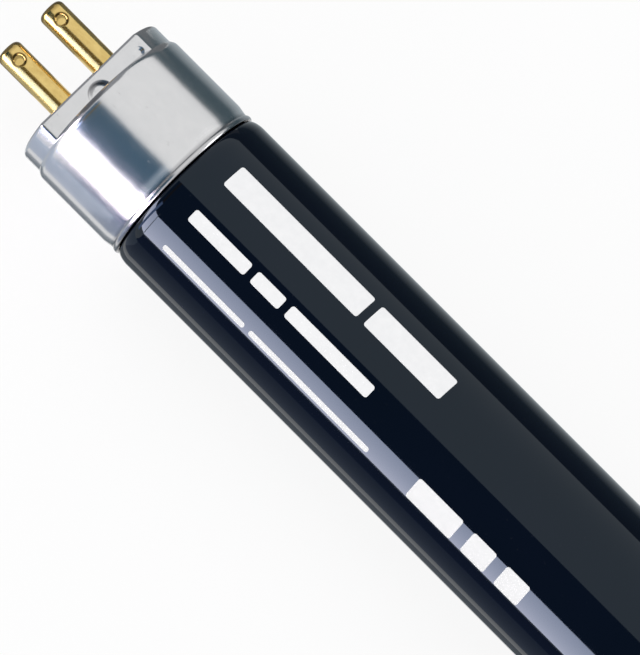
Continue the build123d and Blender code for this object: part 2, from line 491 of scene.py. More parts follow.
def boss_rows(dent):
    """The wall of the boss with its stakes, a quarter round over its edge, and the end face in to the
    window. A row close to the foot keeps the corner there crisp."""
    outline = boss_outline(0.0, BOSS_CORNER_RADIUS)
    foot = ring(outline, shoulder_height(shoulder_angle(outline)))
    top = ring(outline, -BOSS_EDGE_RADIUS)
    wall = [foot] + rows_between(foot + (top - foot) * FIRST_STEP, top, BOSS_WALL_ROWS)
    edge = []
    for angle in np.linspace(0, np.pi / 2, BOSS_EDGE_ROWS)[1:]:
        inset = BOSS_EDGE_RADIUS * (1 - np.cos(angle))
        edge.append(ring(boss_outline(inset, BOSS_CORNER_RADIUS), -BOSS_EDGE_RADIUS * (1 - np.sin(angle))))
    window = window_outline()
    face = rows_between(edge[-1], ring(window + WINDOW_EASE, 0.0), END_FACE_ROWS, ends=(False, True))
    ease = [ring(window + WINDOW_EASE * (1 - np.sin(angle)), WINDOW_EASE * (np.cos(angle) - 1))
            for angle in np.linspace(0, np.pi / 2, WINDOW_EASE_ROWS)[1:]]
    return press_flats(wall, dent) + edge + face + ease


print("rows over the boss:", len(boss_rows(None)))

# %% [markdown]
# ### Inside of the cap
# The sheet has an even thickness, so the inside follows the outside: under the end face, down the room in
# the boss, and down the bore of the skirt. A Solidify modifier could thicken the outside, but the solid
# has sharp inner corners and a plain bore. They are walked through directly, with a row close to each
# corner to keep it crisp under smooth shading.

# %% Rows inside, and both caps
CAP_WALL = 0.3 * MM
ROOM_CORNER_RADIUS = 0.2 * MM
CORNER_STEP = 0.02
APPROACH_ROWS = 6
SIDES = {"left": -1, "right": 1}


def inside_rows():
    """Down through the window, out under the end face, down the boss room and the skirt bore to the rim."""
    window = window_outline()
    room = boss_outline(CAP_WALL, ROOM_CORNER_RADIUS + CAP_WALL)
    bore = cap_r - CAP_WALL
    step = -BOSS_HEIGHT - CAP_WALL
    corners = [ring(window, -CAP_WALL), ring(room, -CAP_WALL), ring(room, step), ring(bore, step),
               ring(bore, -rim_depth)]
    rows = []
    for corner, following in zip(corners, corners[1:]):
        way = following - corner
        rows += [corner, corner + way * CORNER_STEP, corner + way * (1 - CORNER_STEP)]
    return rows + [corners[-1]]


def cap_grid(side, dent):
    """The closed shell of one cap as a grid; side is -1 for the left end and 1 for the right end."""
    outside = skirt_rows() + shoulder_rows(boss_outline(0.0, BOSS_CORNER_RADIUS))
    boss = boss_rows(dent)
    approach = rows_between(outside[-1], boss[0], APPROACH_ROWS, ends=(False, False))
    grid = np.stack(outside + approach + boss + inside_rows())
    grid = np.moveaxis(grid, 1, 2)
    return np.stack((side * (face_x + grid[..., 0]), grid[..., 1], grid[..., 2]), axis=-1)


cap_shells = []
for name, side in SIDES.items():
    dent = DENT_PLACE if name == "left" else None
    shell = make_piece(f"{name}_aluminium_cap", [cap_grid(side, dent)], close_rows=True)
    cap_shells.append(fit(shell, [f"{name}_cap_shell"]))

# %% [markdown]
# ## Brass pins
# A pin is a drawn brass tube. The lead wire ends inside it and is held by a crimp, a round dent on each
# side near the tip. A cylinder with a Boolean cut would leave a sharp pit. A real punch leaves a flat
# floor with sloping walls, so the profile is turned about the pin's own axis and the wall then sinks to
# that floor.

# %% Profile of a pin
PIN_RADIUS = 1.175 * MM
PIN_TIP_ROUND = 0.5 * MM
PIN_TIP_WALL = 0.6 * MM
PIN_TIP_ROWS = 14
PIN_SHANK_RADIUS = 1.0 * MM
PIN_BORE_RADIUS = 0.6 * MM
PIN_CRIMP_BORE_RADIUS = 0.27 * MM
PIN_FLANGE_THICKNESS = 0.4 * MM
CRIMP_RADIUS = 0.66 * MM
CRIMP_FROM_TIP = 1.5 * MM
CRIMP_LENGTH = 2.4 * MM
CRIMP_MARGIN = 1.15


def pin_profile():
    """Up the bore from its closed end, round the flange and shank, along the outer wall and over the tip.
    The rows lie close together where the crimp will be pressed."""
    bore_end = pin_length - PIN_TIP_WALL
    crimp_start = pin_length - CRIMP_LENGTH
    flange_top = PIN_FLANGE_THICKNESS - pin_inner_depth
    tip_centre = (pin_length - PIN_TIP_ROUND, PIN_RADIUS - PIN_TIP_ROUND)
    crimp_reach = CRIMP_RADIUS * CRIMP_MARGIN
    shaft = path(
        (bore_end, 0.0, 2),
        (bore_end, PIN_CRIMP_BORE_RADIUS, 2),
        (crimp_start, PIN_CRIMP_BORE_RADIUS, 2),
        (crimp_start, PIN_BORE_RADIUS, 3),
        (-pin_inner_depth, PIN_BORE_RADIUS, 3),
        (-pin_inner_depth, pin_flange_r, 3),
        (flange_top, pin_flange_r, 3),
        (flange_top, PIN_SHANK_RADIUS, 3),
        (0.0, PIN_SHANK_RADIUS, 3),
        (0.0, PIN_RADIUS, 24),
        (pin_length - CRIMP_FROM_TIP - crimp_reach, PIN_RADIUS, 40),
        (pin_length - CRIMP_FROM_TIP + crimp_reach, PIN_RADIUS, 4),
        (tip_centre[0], PIN_RADIUS),
    )
    tip = arc(tip_centre, PIN_TIP_ROUND, 90, 0, PIN_TIP_ROWS)
    end = path((pin_length, tip_centre[1], 6), (pin_length, 0.0))
    return np.concatenate((shaft[:-1], tip, end[1:]))


print("rows of a pin:", len(pin_profile()))

# %% Four crimped pins
CRIMP_DEPTH = 0.2 * MM
CRIMP_FLOOR_SHARE = 0.55
OUTER_SHARE = 0.99
PIN_COLUMNS = 200


def press_crimps(grid):
    """Sinks the outer wall of a pin, above and below, into a round punch mark with a flat floor."""
    aside = np.hypot(grid[..., 1], grid[..., 0] - pin_length + CRIMP_FROM_TIP)
    reach = PIN_RADIUS - CRIMP_DEPTH * punched(aside, CRIMP_RADIUS, CRIMP_FLOOR_SHARE)
    outer = np.hypot(grid[..., 1], grid[..., 2]) > PIN_RADIUS * OUTER_SHARE
    sunk = outer & (aside < CRIMP_RADIUS) & (np.abs(grid[..., 2]) > reach)
    grid[..., 2] = np.where(sunk, np.sign(grid[..., 2]) * reach, grid[..., 2])
    return grid


def pin_grid(side, place):
    """The pin's surface, turned about its own axis, dented, then set at its place on one end of the lamp."""
    grid = press_crimps(revolve(pin_profile(), PIN_COLUMNS))
    return np.stack((side * (face_x + grid[..., 0]), grid[..., 1] + place, grid[..., 2]), axis=-1)


pins = []
for name, side in SIDES.items():
    for row, place in (("front", -pin_y), ("back", pin_y)):
        pin = make_piece(f"{name}_{row}_brass_pin", [pin_grid(side, place)])
        pins.append(fit(pin, [f"{name}_{row}_pin"]))

# %% [markdown]
# ## Plain printed marks
# White ink runs along one side of the tube in plain bars. It could be a pattern in the glass material,
# but real ink is a film that lies on the glass and has an edge. So each bar is a thin film: a flat
# outline in length and width, wrapped about the tube, with its underside sunk into the glass so that no
# gap shows at its edge.

# %% One film of ink
INK_RISE = 0.008 * MM
INK_ROOT = 0.03 * MM
INK_COLUMNS = 24
INK_CORNER = 0.24 * MM
INK_CORNER_ROWS = 8


def on_tube(x, across, lift):
    """A place along the tube and a distance around it from the view line, at a height above the glass: the
    distance over the tube's radius is an angle, whose sine and cosine place the point."""
    angle = across / tube_r - TURN
    return np.stack((x, (tube_r + lift) * np.sin(angle), (tube_r + lift) * np.cos(angle)), axis=-1)


def bar_grid(start, length, across, width):
    """A bar with round corners: its half width is the full one less what a corner circle takes off near its
    ends. Columns run over the top of the film and back along its underside; the end rows close to a line in
    the glass."""
    end = INK_CORNER * (1 - np.cos(np.linspace(0, np.pi / 2, INK_CORNER_ROWS)))
    place = np.concatenate((end[:1], end, length - end[::-1], [length]))
    to_end = np.minimum(np.minimum(place, length - place), INK_CORNER)
    half = width / 2 - INK_CORNER + np.sqrt(INK_CORNER ** 2 - (INK_CORNER - to_end) ** 2)
    share = np.linspace(-1, 1, INK_COLUMNS)
    share = np.concatenate((share, share[::-1]))
    lift = np.tile(np.repeat((INK_RISE, -INK_ROOT), INK_COLUMNS), (len(place), 1))
    lift[[0, -1]] = -INK_ROOT
    x = np.broadcast_to((start + place)[:, None], lift.shape)
    return on_tube(x, across + half[:, None] * share, lift)


print("a bar is a grid of", bar_grid(0.0, 5.0 * MM, 0.0, 1.0 * MM).shape[:2], "points")

# %% Rows of bars
PRINT_START = 14.2 * MM - face_x
# Each row of bars, in millimetres: its start, its place across, its width, its gaps, and the bars' lengths
BAR_ROWS = (
    (0.0, 3.55, 2.4, 0.8, (15.2, 8.6)),
    (0.0, -1.15, 1.2, 0.7, (6.4, 3.2, 9.4)),
    (0.0, -4.9, 0.55, 0.6, (9.2, 13.6)),
    (28.0, -4.3, 2.2, 1.2, (5.0, 2.6, 2.6)),
)

bar_grids = []
for row_start, row_across, width, gap, lengths in BAR_ROWS:
    x = PRINT_START + row_start * MM
    for length in lengths:
        bar_grids.append(bar_grid(x, length * MM, row_across * MM, width * MM))
        x += (length + gap) * MM
marks = make_piece("printed_marks", bar_grids)
fit(marks, [])

# %% [markdown]
# ## Shader arithmetic
# A finish is a small network of nodes. It could be wired by hand in the shader editor, but a script can
# be read and repeated. Wrapping an output socket in a class lets ordinary arithmetic write the Math
# nodes, and one method adds any other node, so each finish below reads like its recipe.

# %% Wires between nodes
class Wire:
    """An output socket of a node tree. Arithmetic on it adds Math nodes; add() puts in any other node."""

    def __init__(self, tree, socket=None):
        self.tree = tree
        self.socket = socket

    def feed(self, target, value):
        """Links a wire to a socket, or sets the socket to a plain number or colour."""
        if isinstance(value, Wire):
            self.tree.links.new(value.socket, target)
        else:
            target.default_value = value

    def add(self, kind, settings=None, sockets=None, output=0):
        """A new node: its settings first, then the values or links of its sockets, by name or number."""
        node = self.tree.nodes.new(kind)
        for key, value in (settings or {}).items():
            setattr(node, key, value)
        for key, value in (sockets or {}).items():
            self.feed(node.inputs[key], value)
        return Wire(self.tree, node.outputs[output])

    def maths(self, operation, first, second=0.0):
        """A Math node on one or two values."""
        return self.add("ShaderNodeMath", {"operation": operation}, {0: first, 1: second})

    def __add__(self, other):
        return self.maths("ADD", self, other)

    def __sub__(self, other):
        return self.maths("SUBTRACT", self, other)

    def __rsub__(self, other):
        return self.maths("SUBTRACT", other, self)

    def __mul__(self, other):
        return self.maths("MULTIPLY", self, other)

    def __pow__(self, other):
        return self.maths("POWER", self, other)

    def larger(self, other):
        """The larger of two values."""
        return self.maths("MAXIMUM", self, other)

    def size(self):
        """The value without its sign."""
        return self.maths("ABSOLUTE", self)

    def sign(self):
        """1 above zero, -1 below it."""
        return self.maths("SIGN", self)

    __radd__ = __add__
    __rmul__ = __mul__


operations = [name.strip("_") for name in vars(Wire) if callable(vars(Wire)[name])]
print("a wire can:", ", ".join(operations))

# %% [markdown]
# ### Patterns for the finishes
# Image textures could carry scratches, wear and painted shade, but they blur close to the camera and need
# unwrapping.
# Noise and distances on the object's own coordinates stay sharp at any scale and need no unwrapping.

# %% Pattern helpers
def new_finish(name, constants):
    """A material with a Principled shader whose constant sockets are set, and a wire to start from."""
    material = bpy.data.materials.new(name)
    material.use_nodes = True
    shader = material.node_tree.nodes["Principled BSDF"]
    for socket, value in constants.items():
        shader.inputs[socket].default_value = value
    return material, shader, Wire(material.node_tree)


def noise(start, scale, detail=3.0, roughness=0.55):
    """Soft noise from 0 to 1 on the object coordinates, scaled along each axis in cells to the metre."""
    spot = start.add("ShaderNodeTexCoord", output="Object")
    stretched = start.add("ShaderNodeMapping", None, {"Vector": spot, "Scale": scale})
    return start.add("ShaderNodeTexNoise", None,
                     {"Vector": stretched, "Scale": 1.0, "Detail": detail, "Roughness": roughness})


def ramp(start, value, low, high):
    """0 below the low value, 1 above the high one, and a straight slope between them."""
    limits = {"Value": value, "From Min": low, "From Max": high}
    return start.add("ShaderNodeMapRange", {"clamp": True}, limits)


def mix(start, share, first, second):
    """A colour between two colours: the first at a share of 0, the second at a share of 1."""
    return start.add("ShaderNodeMix", {"data_type": "RGBA"}, {0: share, 6: first, 7: second}, output=2)


def bump(start, height):
    """A surface direction from a height pattern in metres."""
    return start.add("ShaderNodeBump", None, {"Height": height, "Strength": 1.0, "Distance": 1.0})


def wear(piece, material):
    """Gives a piece its one finish."""
    piece.data.materials.clear()
    piece.data.materials.append(material)


print(len(bpy.data.materials), "materials before the first finish")

# %% Painted shade by place
SHADE_EDGE = (0.92, 1.02)
FLOOR_EDGE = (-0.1, 0.07)


def places(start):
    """Places along X, Y and Z, measured from the lamp's middle."""
    spot = start.add("ShaderNodeTexCoord", output="Object")
    parts = start.add("ShaderNodeSeparateXYZ", None, {0: spot}).socket.node.outputs
    return [Wire(start.tree, parts[axis]) for axis in "XYZ"]


def distance_of(first, second):
    """Length of the line whose two parts are given: the root of the sum of their squares."""
    return (first ** 2.0 + second ** 2.0) ** 0.5


def crescent(start, first, second, radius, floor_share, lean):
    """A soft crescent in a round mark, a mask for painted shade: 1 between the mark's edge and a smaller
    circle, the floor, that leans away from the crescent by shares of the radius, and 0 elsewhere."""
    outside = ramp(start, distance_of(first, second), SHADE_EDGE[0] * radius, SHADE_EDGE[1] * radius)
    from_floor = distance_of(first + lean[0] * radius, second + lean[1] * radius)
    floor_from = (floor_share + FLOOR_EDGE[0]) * radius
    floor_to = (floor_share + FLOOR_EDGE[1]) * radius
    return ramp(start, from_floor, floor_from, floor_to) * (1 - outside)


# The fade-out printed below is that of the painted shade in a stake.
print(f"soil in a stake fades out {SHADE_EDGE[1] * STAKE_RADIUS / MM:.2f} mm from its middle")

# %% [markdown]
# ## Finish: black glass
# The glass is nearly black with a cold blue violet cast and a polished surface. A flat black would look
# like plastic. So the cast drifts a little along the tube, faint wipe marks make the gloss uneven, and a
# few specks of dust lie on it.

# %% Black glass
GLASS_CONSTANTS = {"IOR": 1.42, "Specular Tint": (0.66, 0.86, 1.0, 1)}
GLASS_TONES = ((0.0012, 0.0020, 0.0052, 1), (0.0020, 0.0026, 0.0080, 1))
DUST_TONE = (0.4, 0.42, 0.45, 1)
DUST_COVER = 0.01


def black_glass():
    """Two dark tones by a slow drift, thin dust over them, and gloss dulled where it was wiped."""
    material, shader, start = new_finish("black_glass", GLASS_CONSTANTS)
    drift = noise(start, (60, 160, 160), detail=2.0)
    wipes = noise(start, (90, 700, 700), detail=4.0)
    specks = ramp(start, noise(start, (2600, 2600, 2600), detail=2.0), 0.70, 0.78)
    tone = mix(start, drift, *GLASS_TONES)
    start.feed(shader.inputs["Base Color"], mix(start, specks * DUST_COVER, tone, DUST_TONE))
    start.feed(shader.inputs["Roughness"], 0.035 + 0.05 * ramp(start, wipes, 0.45, 0.8))
    return material


glass = black_glass()
wear(glass_tube, glass)
print("black glass:", len(glass.node_tree.nodes), "nodes")

# %% [markdown]
# ## Finish: drawn aluminium
# Drawing the cap leaves fine lines along its wall, and handling leaves small pits and scuffs. One grey
# metal with a single roughness would look like plastic chrome. So the lines are noise stretched along the
# tube, and the scuffs darken and roughen small spots. Painted shade darkens the groove of the rim, its cut
# edge, one side of the stakes and the brow of the shoulder beside the flats. It is placed by distances
# from those forms.

# %% Where painted shade lies on a cap
GROOVE_SHADE = (0.05 * MM, 0.35 * MM)
CUT_EDGE_SHADE = (0.06 * MM, 0.20 * MM)
FLAT_MARGIN = 0.3 * MM
STAKE_SHADE_FLOOR = 0.85
STAKE_SHADE_LEAN = (0.1, 0.2)
BROW_MIDDLE = -1.2 * MM
BROW_REACH = (0.8 * MM, 2.4 * MM)
BROW_RUN = 0.30 * MM
BROW_EDGE = (-0.20 * MM, -0.08 * MM)
FRONT_SIDE = (-1.0 * MM, 3.0 * MM)


def painted_rim_shade(start, x):
    """Painted shade in the groove behind the bead, and on the cut edge of the rim, by the distance from the
    rim.
    """
    from_rim = x.size() - (face_x - rim_depth)
    groove = 1 - ramp(start, (from_rim - RIM_BEAD_WIDTH).size(), *GROOVE_SHADE)
    cut_edge = 1 - ramp(start, from_rim, *CUT_EDGE_SHADE)
    return groove, cut_edge


def painted_foot_shade(start, x, y, z):
    """Painted shade at the foot of the boss: crescents on one side of the stakes, and a brow on the shoulder
    beside the flats, which reaches farthest by a stake and fades out towards the back."""
    on_flats = 1 - ramp(start, z.size(), BOSS_HALF_FLATS, BOSS_HALF_FLATS + FLAT_MARGIN)
    above_foot = x.size() - (face_x - BOSS_HEIGHT)
    # Painted shade: a crescent on one side of each stake, and a dark brow under the shoulder beside the
    # flats, strongest at the front.
    stakes = on_flats * crescent(start, above_foot, y, STAKE_RADIUS, STAKE_SHADE_FLOOR, STAKE_SHADE_LEAN)
    by_stake = 1 - ramp(start, (y - BROW_MIDDLE).size(), *BROW_REACH)
    brow = ramp(start, above_foot + by_stake * BROW_RUN, *BROW_EDGE) * (1 - on_flats)
    front_side = 1 - ramp(start, y, *FRONT_SIDE)
    return stakes * 0.75 + brow * front_side * (0.4 + 0.3 * by_stake)


# The fade-out printed below is that of the painted shade in the groove.
print(f"soil in the groove fades out {GROOVE_SHADE[1] / MM:.2f} mm from its bottom")

# %% Drawn aluminium
ALUMINIUM_TONES = ((0.625, 0.63, 0.64, 1), (0.70, 0.70, 0.705, 1))
WEAR_AND_SHADE_TONE = (0.24, 0.24, 0.25, 1)
PAINTED_SHADE_TONE = (0.10, 0.10, 0.11, 1)
LINE_RELIEF = 0.001 * MM
WAVE_RELIEF = 0.02 * MM


def drawn_aluminium():
    """Mottled metal, scuffed at random, with painted shade at the rim and at the foot of the boss, and draw
    lines.
    """
    material, shader, start = new_finish("drawn_aluminium", {"Metallic": 1.0})
    lines = noise(start, (350, 5200, 5200), detail=4.0, roughness=0.65)
    mottle = noise(start, (700, 900, 900), detail=3.0)
    waves = noise(start, (240, 420, 420), detail=1.5)
    scuffs = ramp(start, noise(start, (900, 2200, 2200), detail=5.0, roughness=0.7), 0.63, 0.72)
    x, y, z = places(start)
    groove, cut_edge = painted_rim_shade(start, x)
    bright = mix(start, mottle, *ALUMINIUM_TONES)
    # Scuffs are real wear; the groove and the cut edge of the rim add painted shade in the same dark tone.
    worn_and_shaded = mix(start, scuffs * 0.35 + groove * 0.6 + cut_edge * 0.75, bright, WEAR_AND_SHADE_TONE)
    start.feed(shader.inputs["Base Color"], mix(start, painted_foot_shade(start, x, y, z), worn_and_shaded, PAINTED_SHADE_TONE))
    start.feed(shader.inputs["Roughness"], 0.14 + 0.04 * mottle + 0.05 * lines + 0.14 * scuffs)
    relief = (0.7 * lines + 0.5 * mottle - 0.6 * scuffs) * LINE_RELIEF + waves * WAVE_RELIEF
    start.feed(shader.inputs["Normal"], bump(start, relief))
    return material


aluminium = drawn_aluminium()
for shell in cap_shells:
    wear(shell, aluminium)
print("drawn aluminium:", len(aluminium.node_tree.nodes), "nodes on", len(cap_shells), "caps")

# %% [markdown]
# ## Finish: brass
# The pins are bright brass with faint turning marks. A plain gold colour would look like paint, so brown
# tarnish drifts over it in patches. Painted shade browns the walls of the crimps, most on the side of each
# crimp towards the tip, and a painted dark reflection browns the tip itself.

# %% Bright brass
BRASS_TONES = ((0.76, 0.57, 0.22, 1), (0.62, 0.44, 0.15, 1))
BRASS_SHADE_TONE = (0.13, 0.08, 0.02, 1)
CRIMP_WALL_FLOOR = 0.7
CRIMP_SHADE_FLOOR = 0.62
CRIMP_SHADE_LEAN = (0.32, 0.2)
TIP_SHADE_RANGE = (CRIMP_FROM_TIP - 0.66 * MM, CRIMP_FROM_TIP - 0.36 * MM)
RING_RELIEF = 0.0015 * MM


def bright_brass():
    """Two golds by patches of tarnish; painted shade on the crimp and a painted dark reflection on the tip,
    by distances from the crimp.
    """
    material, shader, start = new_finish("bright_brass", {"Metallic": 1.0})
    tarnish = noise(start, (900, 1400, 1400), detail=4.0)
    rings = noise(start, (9000, 500, 500), detail=3.0)
    x, y, _ = places(start)
    past_crimp = x.size() - (face_x + pin_length - CRIMP_FROM_TIP)
    beside_crimp = (y.size() - pin_y) * y.sign()
    # Painted shade: a dark ring on each crimp's walls and a darker crescent on its side towards the tip;
    # over the tip a painted dark reflection.
    walls = crescent(start, past_crimp, beside_crimp, CRIMP_RADIUS, CRIMP_WALL_FLOOR, (0.0, 0.0))
    shade = crescent(start, past_crimp, beside_crimp, CRIMP_RADIUS, CRIMP_SHADE_FLOOR, CRIMP_SHADE_LEAN)
    tip = ramp(start, past_crimp, *TIP_SHADE_RANGE)
    gold = mix(start, ramp(start, tarnish, 0.35, 0.75), *BRASS_TONES)
    brown = walls * 0.35 + shade * 0.6 + tip * 0.6
    start.feed(shader.inputs["Base Color"], mix(start, brown, gold, BRASS_SHADE_TONE))
    start.feed(shader.inputs["Roughness"], 0.14 + 0.06 * tarnish + 0.04 * rings)
    start.feed(shader.inputs["Normal"], bump(start, rings * RING_RELIEF))
    return material


brass = bright_brass()
for pin in pins:
    wear(pin, brass)
print("bright brass:", len(brass.node_tree.nodes), "nodes on", len(pins), "pins")

# %% [markdown]
# ## Finish: white ink
# The ink is matt and a little thin in places, so the black glass dulls it slightly. A glossy white would
# mirror the bright cards and lose its own tone, so its specular level is low.

# %% White ink
INK_TONES = ((0.80, 0.805, 0.81, 1), (0.90, 0.90, 0.90, 1))


def white_ink():
    """Two whites by how well the ink covers; it is duller where it covers well."""
    material, shader, start = new_finish("white_ink", {"Specular IOR Level": 0.05})
    cover = noise(start, (1500, 1500, 1500), detail=4.0)
    start.feed(shader.inputs["Base Color"], mix(start, cover, *INK_TONES))
    start.feed(shader.inputs["Roughness"], 0.42 + 0.15 * cover)
    return material


ink = white_ink()
wear(marks, ink)
print("white ink:", len(ink.node_tree.nodes), "nodes")

# %% [markdown]
# ## Finishes inside the caps
# The insulator shows only around the pins at the end face, and the cement and wires hardly at all. New
# surfaces could be made for them, but their solids already have the right form. So the solids stay and
# get finishes of their own: a speckled phenolic, a grainy cement and a dull wire.

# %% Phenolic, cement and wire
PHENOLIC_TONES = ((0.020, 0.011, 0.007, 1), (0.055, 0.030, 0.017, 1))
CEMENT_TONES = ((0.30, 0.22, 0.13, 1), (0.48, 0.38, 0.25, 1))
WIRE_TONES = ((0.42, 0.39, 0.34, 1), (0.58, 0.55, 0.50, 1))


def grainy(name, tones, grain, roughness, depth):
    """A dull material whose tone, roughness and relief follow one grain, in cells to the metre."""
    material, shader, start = new_finish(name, {})
    speckle = noise(start, (grain, grain, grain), detail=5.0, roughness=0.65)
    start.feed(shader.inputs["Base Color"], mix(start, ramp(start, speckle, 0.3, 0.7), *tones))
    start.feed(shader.inputs["Roughness"], roughness + 0.15 * speckle)
    start.feed(shader.inputs["Normal"], bump(start, speckle * depth))
    return material


def dull_wire():
    """A grey metal with streaks along the wire."""
    material, shader, start = new_finish("dull_wire", {"Metallic": 1.0})
    streaks = noise(start, (800, 6000, 6000), detail=3.0)
    start.feed(shader.inputs["Base Color"], mix(start, streaks, *WIRE_TONES))
    start.feed(shader.inputs["Roughness"], 0.3 + 0.2 * streaks)
    return material


inner_finishes = {
    "insulator": grainy("phenolic", PHENOLIC_TONES, 2200, 0.38, 0.004 * MM),
    "cement_ring": grainy("basing_cement", CEMENT_TONES, 3000, 0.75, 0.02 * MM),
    "lead_wire": dull_wire(),
}
for node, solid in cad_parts.items():
    for ending, finish in inner_finishes.items():
        if node.endswith(ending):
            wear(solid, finish)
print("finishes inside the caps:", ", ".join(inner_finishes))

# %% [markdown]
# ## Room and floor
# The photograph has a white ground. A strong light could make it white, but that would burn out the lamp
# as well. So the room and the floor are plain white only where the camera, a mirror or glass sees them,
# and a softer level as light. The floor stays partly paint, so that it keeps the lamp's soft shadow.

# %% White room
ROOM_WHITE = (1.0, 1.0, 1.0, 1)
AMBIENT = (0.80, 0.80, 0.81, 1)


def seen_directly(start):
    """The largest of three flags: 1 for rays from the camera, from mirrors and through glass, or else 0."""
    ray = start.add("ShaderNodeLightPath", output="Is Camera Ray")
    kinds = ray.socket.node.outputs
    glossy = Wire(start.tree, kinds["Is Glossy Ray"])
    through = Wire(start.tree, kinds["Is Transmission Ray"])
    return ray.larger(glossy).larger(through)


def white_room():
    """The world: white where it is seen, and a softer level as light."""
    world = bpy.data.worlds.new("white_room")
    world.use_nodes = True
    start = Wire(world.node_tree)
    back = world.node_tree.nodes["Background"]
    start.feed(back.inputs["Color"], mix(start, seen_directly(start), AMBIENT, ROOM_WHITE))
    bpy.context.scene.world = world


white_room()
print("room:", bpy.context.scene.world.name)

# %% Pale floor
FLOOR_PAINT = (0.86, 0.86, 0.86, 1)
FLOOR_GLOW = 0.88
FLOOR_HALF = 12.0

floor_z = -tube_r


def empty_finish(name):
    """A material with only its output node, and a wire to start its recipe from."""
    material = bpy.data.materials.new(name)
    material.use_nodes = True
    tree = material.node_tree
    tree.nodes.clear()
    return material, tree.nodes.new("ShaderNodeOutputMaterial").inputs["Surface"], Wire(tree)


def pale_floor():
    """White floor that keeps a soft shadow: pale paint mixed with an even white where it is seen."""
    material, surface, start = empty_finish("pale_floor")
    paint = start.add("ShaderNodeBsdfDiffuse", None, {"Color": FLOOR_PAINT})
    glow = start.add("ShaderNodeEmission", None, {"Color": ROOM_WHITE, "Strength": 1.0})
    share = seen_directly(start) * FLOOR_GLOW
    start.feed(surface, start.add("ShaderNodeMixShader", None, {0: share, 1: paint, 2: glow}))
    return material


def flat_sheet(name, corners):
    """One flat face through four corners, as an object."""
    mesh = bpy.data.meshes.new(name)
    mesh.from_pydata(corners, [], [(0, 1, 2, 3)])
    piece = bpy.data.objects.new(name, mesh)
    bpy.context.scene.collection.objects.link(piece)
    return piece


floor = flat_sheet("floor", [(-FLOOR_HALF, -FLOOR_HALF, floor_z), (FLOOR_HALF, -FLOOR_HALF, floor_z),
                             (FLOOR_HALF, FLOOR_HALF, floor_z), (-FLOOR_HALF, FLOOR_HALF, floor_z)])
wear(floor, pale_floor())
print(f"floor {2 * FLOOR_HALF:.0f} m wide, {-floor_z / MM:.1f} mm below the axis of the lamp")

# %% [markdown]
# ## Lights and cards
# Metal and glass show what stands around them, so light is laid out by angle about the tube. In a studio
# one long softbox would both light the tube and give it its stripe. But a softbox bright enough to show
# in dark glass would burn out the white ink. So the two jobs are split: soft lights that no mirror sees
# light the lamp at a plain level, and glowing cards are seen in reflections only.

# %% Soft lights
def around(angle_deg, reach):
    """Y and Z of a place about the tube: an angle from the view direction, towards +Y, and a distance."""
    angle = np.radians(angle_deg) - TURN
    return reach * np.sin(angle), reach * np.cos(angle)


def softbox(name, first, last, level, reach):
    """A long area light between two places about the tube, facing it; its power follows from its brightness:
    the level times pi times its area."""
    middle_x = (reach[0] + reach[1]) / 2
    low = Vector((middle_x, *first))
    high = Vector((middle_x, *last))
    middle = (low + high) / 2
    data = bpy.data.lights.new(name, "AREA")
    data.shape = "RECTANGLE"
    data.size = reach[1] - reach[0]
    data.size_y = (high - low).length
    data.energy = level * np.pi * data.size * data.size_y
    light = bpy.data.objects.new(name, data)
    facing = (high - low).normalized().cross(Vector((1, 0, 0)))
    if facing.z * middle.z + facing.y * middle.y < 0:
        facing = -facing
    turn = Matrix((Vector((1, 0, 0)), facing.cross(Vector((1, 0, 0))), facing)).transposed()
    light.matrix_world = Matrix.Translation(middle) @ turn.to_4x4()
    light.visible_camera = False
    light.visible_glossy = False
    bpy.context.scene.collection.objects.link(light)


level_y, level_z = around(90.0, 1.0)
print(f"a quarter turn from the view line, 1 m out: {level_y:.2f} m back and {level_z:.2f} m up")

# %% Glowing cards
def card_glow():
    """The finish of all cards: each glows in the tones that its own corners carry."""
    material, surface, start = empty_finish("card_glow")
    tint = start.add("ShaderNodeAttribute", {"attribute_name": "shade"})
    start.feed(surface, start.add("ShaderNodeEmission", None, {"Color": tint, "Strength": 1.0}))
    return material


card_finish = card_glow()


def card(name, corners, first_tone, last_tone=None, shades=False):
    """A flat card that only reflections see; its tone runs from its first edge to its last one. It may shade
    lights and other cards."""
    piece = flat_sheet(name, corners)
    shade = piece.data.color_attributes.new("shade", "FLOAT_COLOR", "POINT")
    edge_tones = np.repeat([(*first_tone, 1), (*(last_tone or first_tone), 1)], 2, axis=0)
    shade.data.foreach_set("color", edge_tones.ravel())
    wear(piece, card_finish)
    piece.visible_camera = False
    piece.visible_diffuse = False
    piece.visible_shadow = shades
    piece.visible_transmission = False
    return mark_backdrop(piece)


def long_card(name, first, last, first_tone, last_tone, reach, shades=False):
    """A card along the tube between two places about it, and between two places along it."""
    corners = [(reach[0], *first), (reach[1], *first), (reach[1], *last), (reach[0], *last)]
    return card(name, corners, first_tone, last_tone, shades)


print("cards share the finish", card_finish.name)

# %% [markdown]
# ### Stripe and dark band
# A bright card low on the front side gives the light stripe on the glass, and a dark card above it the
# dark band. The white room gives the broad pale side. A light in the place of the bright card, and one
# overhead, light the lamp itself. Towards the far end the dark card fades out, and another bright card
# stands behind, so that the lamp also has a stripe when it is seen from there.

# %% Stripe and dark band
STAGE_REACH = 0.6
LONG_REACH = (-1.3, 1.3)
FRONT_LEVEL = 0.6
OVERHEAD_LEVEL = 1.2
OVERHEAD_REACH = 1.2
DARK_TONE = (0.045, 0.115, 0.185)
FADED_TONE = (0.30, 0.40, 0.50)
DARK_START = -0.9
DARK_SPLIT = -0.13
DARK_END = 0.04
CARD_END = 0.75
BACK_BRIGHT_SPAN = (0.06, CARD_END)
OVERHEAD_SPAN = (-0.6, 0.6)

